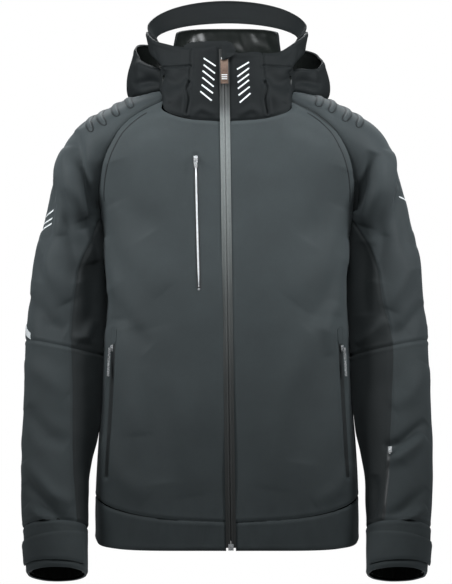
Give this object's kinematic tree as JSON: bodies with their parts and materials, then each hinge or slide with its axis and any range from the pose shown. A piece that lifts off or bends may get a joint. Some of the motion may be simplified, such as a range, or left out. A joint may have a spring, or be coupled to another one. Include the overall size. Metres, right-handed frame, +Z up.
{
  "type": "ski jacket",
  "caption": "Hooded ski jacket in stretch fabric with raglan sleeves, a full front zip, chest, hand and sleeve pocket zips and cuff tabs, standing open as if worn.",
  "frame": {"origin": "the peg point of the hang loop, inside the back of the collar", "axes": "+Z up, -Y the front of the jacket, +X the wearer's left"},
  "size_m": [0.6226, 0.3275, 0.8759],
  "materials": {
    "shell": "matte stretch softshell, dark slate grey",
    "shoulder": "matte stretch softshell with raised ribs",
    "side": "matte stretch softshell, near black",
    "lining": "smooth glossy lining",
    "tape": "coated water-resistant zip tape",
    "metal": "polished metal",
    "copper": "copper brown anodised plate"
  },
  "bodies": {
    "torso": {"back_panel": "shell", "body_lining": "lining", "chest_pocket_bag": "lining", "chest_zip_tape": "tape", "collar_back": "lining", "collar_front_left": "shell", "collar_front_right": "shell", "front_panel_left": "shell", "front_panel_right": "shell", "hand_pocket_bag_left": "lining", "hand_pocket_bag_right": "lining", "hand_zip_tape_left": "tape", "hand_zip_tape_right": "tape", "hang_loop": "lining", "hem_band_back": "shell", "hem_band_front_left": "shell", "hem_band_front_right": "shell", "hood_side_left": "shell", "hood_side_right": "shell", "main_zip_tape_left": "tape", "main_zip_tape_right": "tape", "shoulder_cap_left": "shoulder", "shoulder_cap_right": "shoulder", "shoulder_yoke_left": "shoulder", "shoulder_yoke_right": "shoulder", "side_panel_left": "side", "side_panel_right": "side", "zip_bottom_box": "metal"},
    "main_slider": {"main_slider": "metal"},
    "main_puller": {"main_puller": "copper"},
    "chest_slider": {"chest_slider": "metal"},
    "chest_puller": {"chest_puller": "metal"},
    "chin_flap": {"chin_flap": "shell"},
    "hood": {"hood_brim": "shell", "hood_crown": "shell"},
    "hand_slider_right": {"hand_slider_right": "metal"},
    "hand_puller_right": {"hand_puller_right": "metal"},
    "arm_right": {"upper_sleeve_front_right": "shell", "upper_sleeve_back_right": "shell", "elbow_panel_right": "shell"},
    "forearm_right": {"forearm_front_right": "shell", "forearm_back_right": "shell", "cuff_band_right": "shell", "inner_cuff_right": "lining"},
    "cuff_tab_right": {"cuff_strap_right": "side"},
    "hand_slider_left": {"hand_slider_left": "metal"},
    "hand_puller_left": {"hand_puller_left": "metal"},
    "arm_left": {"upper_sleeve_front_left": "shell", "upper_sleeve_back_left": "shell", "elbow_panel_left": "shell"},
    "forearm_left": {"forearm_front_left": "shell", "forearm_back_left": "shell", "cuff_band_left": "shell", "inner_cuff_left": "lining", "forearm_zip_tape": "tape"},
    "cuff_tab_left": {"cuff_strap_left": "side"},
    "forearm_slider": {"forearm_slider": "metal"}
  },
  "joints": [
    {"name": "main_zip_slide", "type": "slide", "parent": "torso", "child": "main_slider", "axis": [0.014, -0.0619, -0.998], "range_m": [0, 0.7]},
    {"name": "main_puller_swing", "type": "hinge", "parent": "main_slider", "child": "main_puller", "pos_m": [-0.00426, -0.16602, 0.002], "axis": [-1, 0, 0], "range_deg": [0, 110]},
    {"name": "chest_zip_slide", "type": "slide", "parent": "torso", "child": "chest_slider", "axis": [0.0249, -0.0584, -0.998], "range_m": [0, 0.1874]},
    {"name": "chest_puller_swing", "type": "hinge", "parent": "chest_slider", "child": "chest_puller", "pos_m": [-0.04726, -0.17491, -0.14559], "axis": [-0.9979, 0.0574, -0.0283], "range_deg": [0, 80]},
    {"name": "hand_zip_slide_right", "type": "slide", "parent": "torso", "child": "hand_slider_right", "axis": [-0.0576, -0.0564, -0.9967], "range_m": [0, 0.1867]},
    {"name": "hand_puller_swing_right", "type": "hinge", "parent": "hand_slider_right", "child": "hand_puller_right", "pos_m": [-0.17677, -0.13092, -0.42938], "axis": [-0.5292, 0.8483, -0.0174], "range_deg": [0, 80]},
    {"name": "hand_zip_slide_left", "type": "slide", "parent": "torso", "child": "hand_slider_left", "axis": [0.0576, -0.0601, -0.9965], "range_m": [0, 0.1867]},
    {"name": "hand_puller_swing_left", "type": "hinge", "parent": "hand_slider_left", "child": "hand_puller_left", "pos_m": [0.17678, -0.13132, -0.42937], "axis": [-0.526, -0.8502, 0.0209], "range_deg": [0, 80]},
    {"name": "forearm_zip_slide", "type": "slide", "parent": "forearm_left", "child": "forearm_slider", "axis": [-0.0233, -0.245, -0.9692], "range_m": [0, 0.071]},
    {"name": "chin_flap_turn", "type": "hinge", "parent": "torso", "child": "chin_flap", "pos_m": [-0.01603, -0.16372, 0.02], "axis": [0, 0, -1], "range_deg": [0, 120]},
    {"name": "hood_lift", "type": "hinge", "parent": "torso", "child": "hood", "pos_m": [0, -0.04, 0.03], "axis": [1, 0, 0], "range_deg": [0, 35]},
    {"name": "shoulder_lift_right", "type": "hinge", "parent": "torso", "child": "arm_right", "pos_m": [-0.225, -0.06, -0.2], "axis": [0, 1, 0], "range_deg": [0, 50], "deforming": ["shoulder_cap_right"]},
    {"name": "elbow_bend_right", "type": "hinge", "parent": "arm_right", "child": "forearm_right", "pos_m": [-0.25075, -0.06871, -0.475], "axis": [-1, 0, 0], "range_deg": [0, 90], "deforming": ["elbow_panel_right"]},
    {"name": "cuff_tab_turn_right", "type": "hinge", "parent": "forearm_right", "child": "cuff_tab_right", "pos_m": [-0.21367, -0.1631, -0.71876], "axis": [-0.0095, 0.2788, 0.9603], "range_deg": [0, 110]},
    {"name": "shoulder_lift_left", "type": "hinge", "parent": "torso", "child": "arm_left", "pos_m": [0.225, -0.06, -0.2], "axis": [0, -1, 0], "range_deg": [0, 50], "deforming": ["shoulder_cap_left"]},
    {"name": "elbow_bend_left", "type": "hinge", "parent": "arm_left", "child": "forearm_left", "pos_m": [0.25075, -0.06871, -0.475], "axis": [-1, 0, 0], "range_deg": [0, 90], "deforming": ["elbow_panel_left"]},
    {"name": "cuff_tab_turn_left", "type": "hinge", "parent": "forearm_left", "child": "cuff_tab_left", "pos_m": [0.21367, -0.1631, -0.71876], "axis": [-0.0095, -0.2788, -0.9603], "range_deg": [0, 110]}
  ]
}
